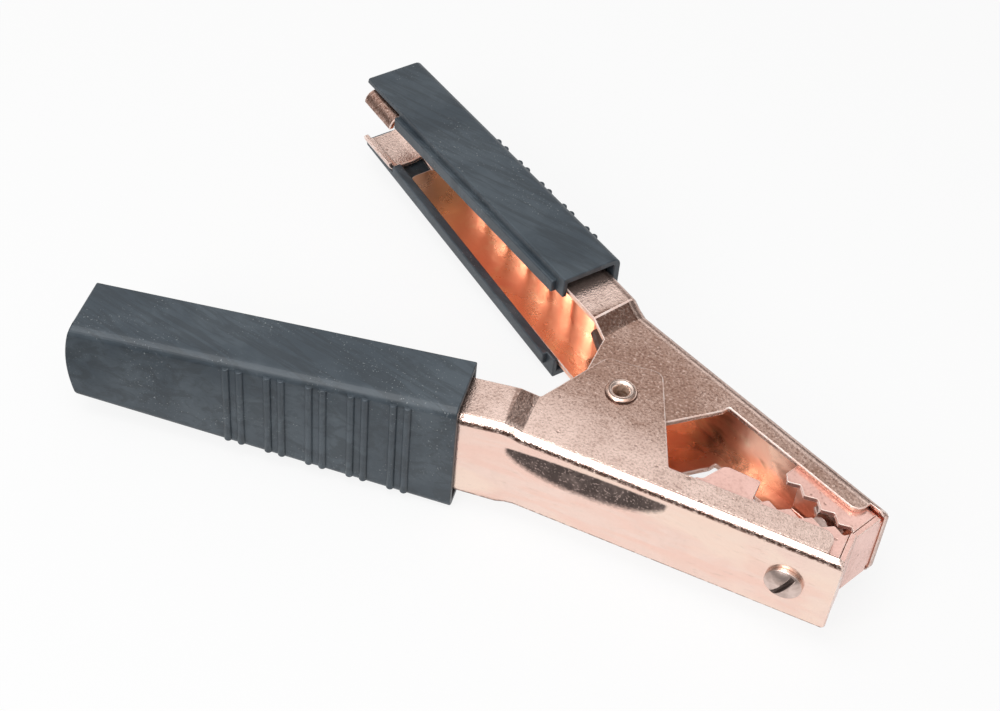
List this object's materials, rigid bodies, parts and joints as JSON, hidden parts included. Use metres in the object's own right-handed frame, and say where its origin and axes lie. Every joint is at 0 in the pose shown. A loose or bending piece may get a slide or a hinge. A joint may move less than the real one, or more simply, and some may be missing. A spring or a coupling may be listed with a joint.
{
  "type": "crocodile clip",
  "caption": "Large sprung crocodile clip with copper-plated channel levers, serrated jaw inserts, a hollow pivot rivet, a cable crimp and dark plastic grips.",
  "frame": {"origin": "middle of the pivot rivet's bore", "axes": "+X towards the jaws along the middle line, +Y towards the inner lever's side, +Z along the rivet"},
  "size_m": [0.1519, 0.1118, 0.0286],
  "materials": {
    "copper_plate": "steel sheet with a thin glossy copper plating",
    "plated_steel": "plain nickel-plated steel",
    "spring_wire": "dull grey spring wire",
    "slate_plastic": "dark slate moulded plastic with a soft sheen"
  },
  "bodies": {
    "outer_half": {"outer_lever": "copper_plate", "outer_jaw_insert": "copper_plate", "outer_screw": "plated_steel", "outer_nut": "plated_steel", "pivot_rivet": "plated_steel", "torsion_spring": "spring_wire", "outer_grip": "slate_plastic"},
    "inner_half": {"inner_lever": "copper_plate", "inner_jaw_insert": "copper_plate", "inner_screw": "plated_steel", "inner_nut": "plated_steel", "inner_grip": "slate_plastic"}
  },
  "joints": [
    {"name": "jaw_hinge", "type": "hinge", "parent": "outer_half", "child": "inner_half", "pos_m": [0, 0, 0], "axis": [0, 0, 1], "range_deg": [0, 40], "stiffness_Nm_per_rad": 0.35, "springref_deg": -16.04, "deforming": ["torsion_spring"]}
  ]
}
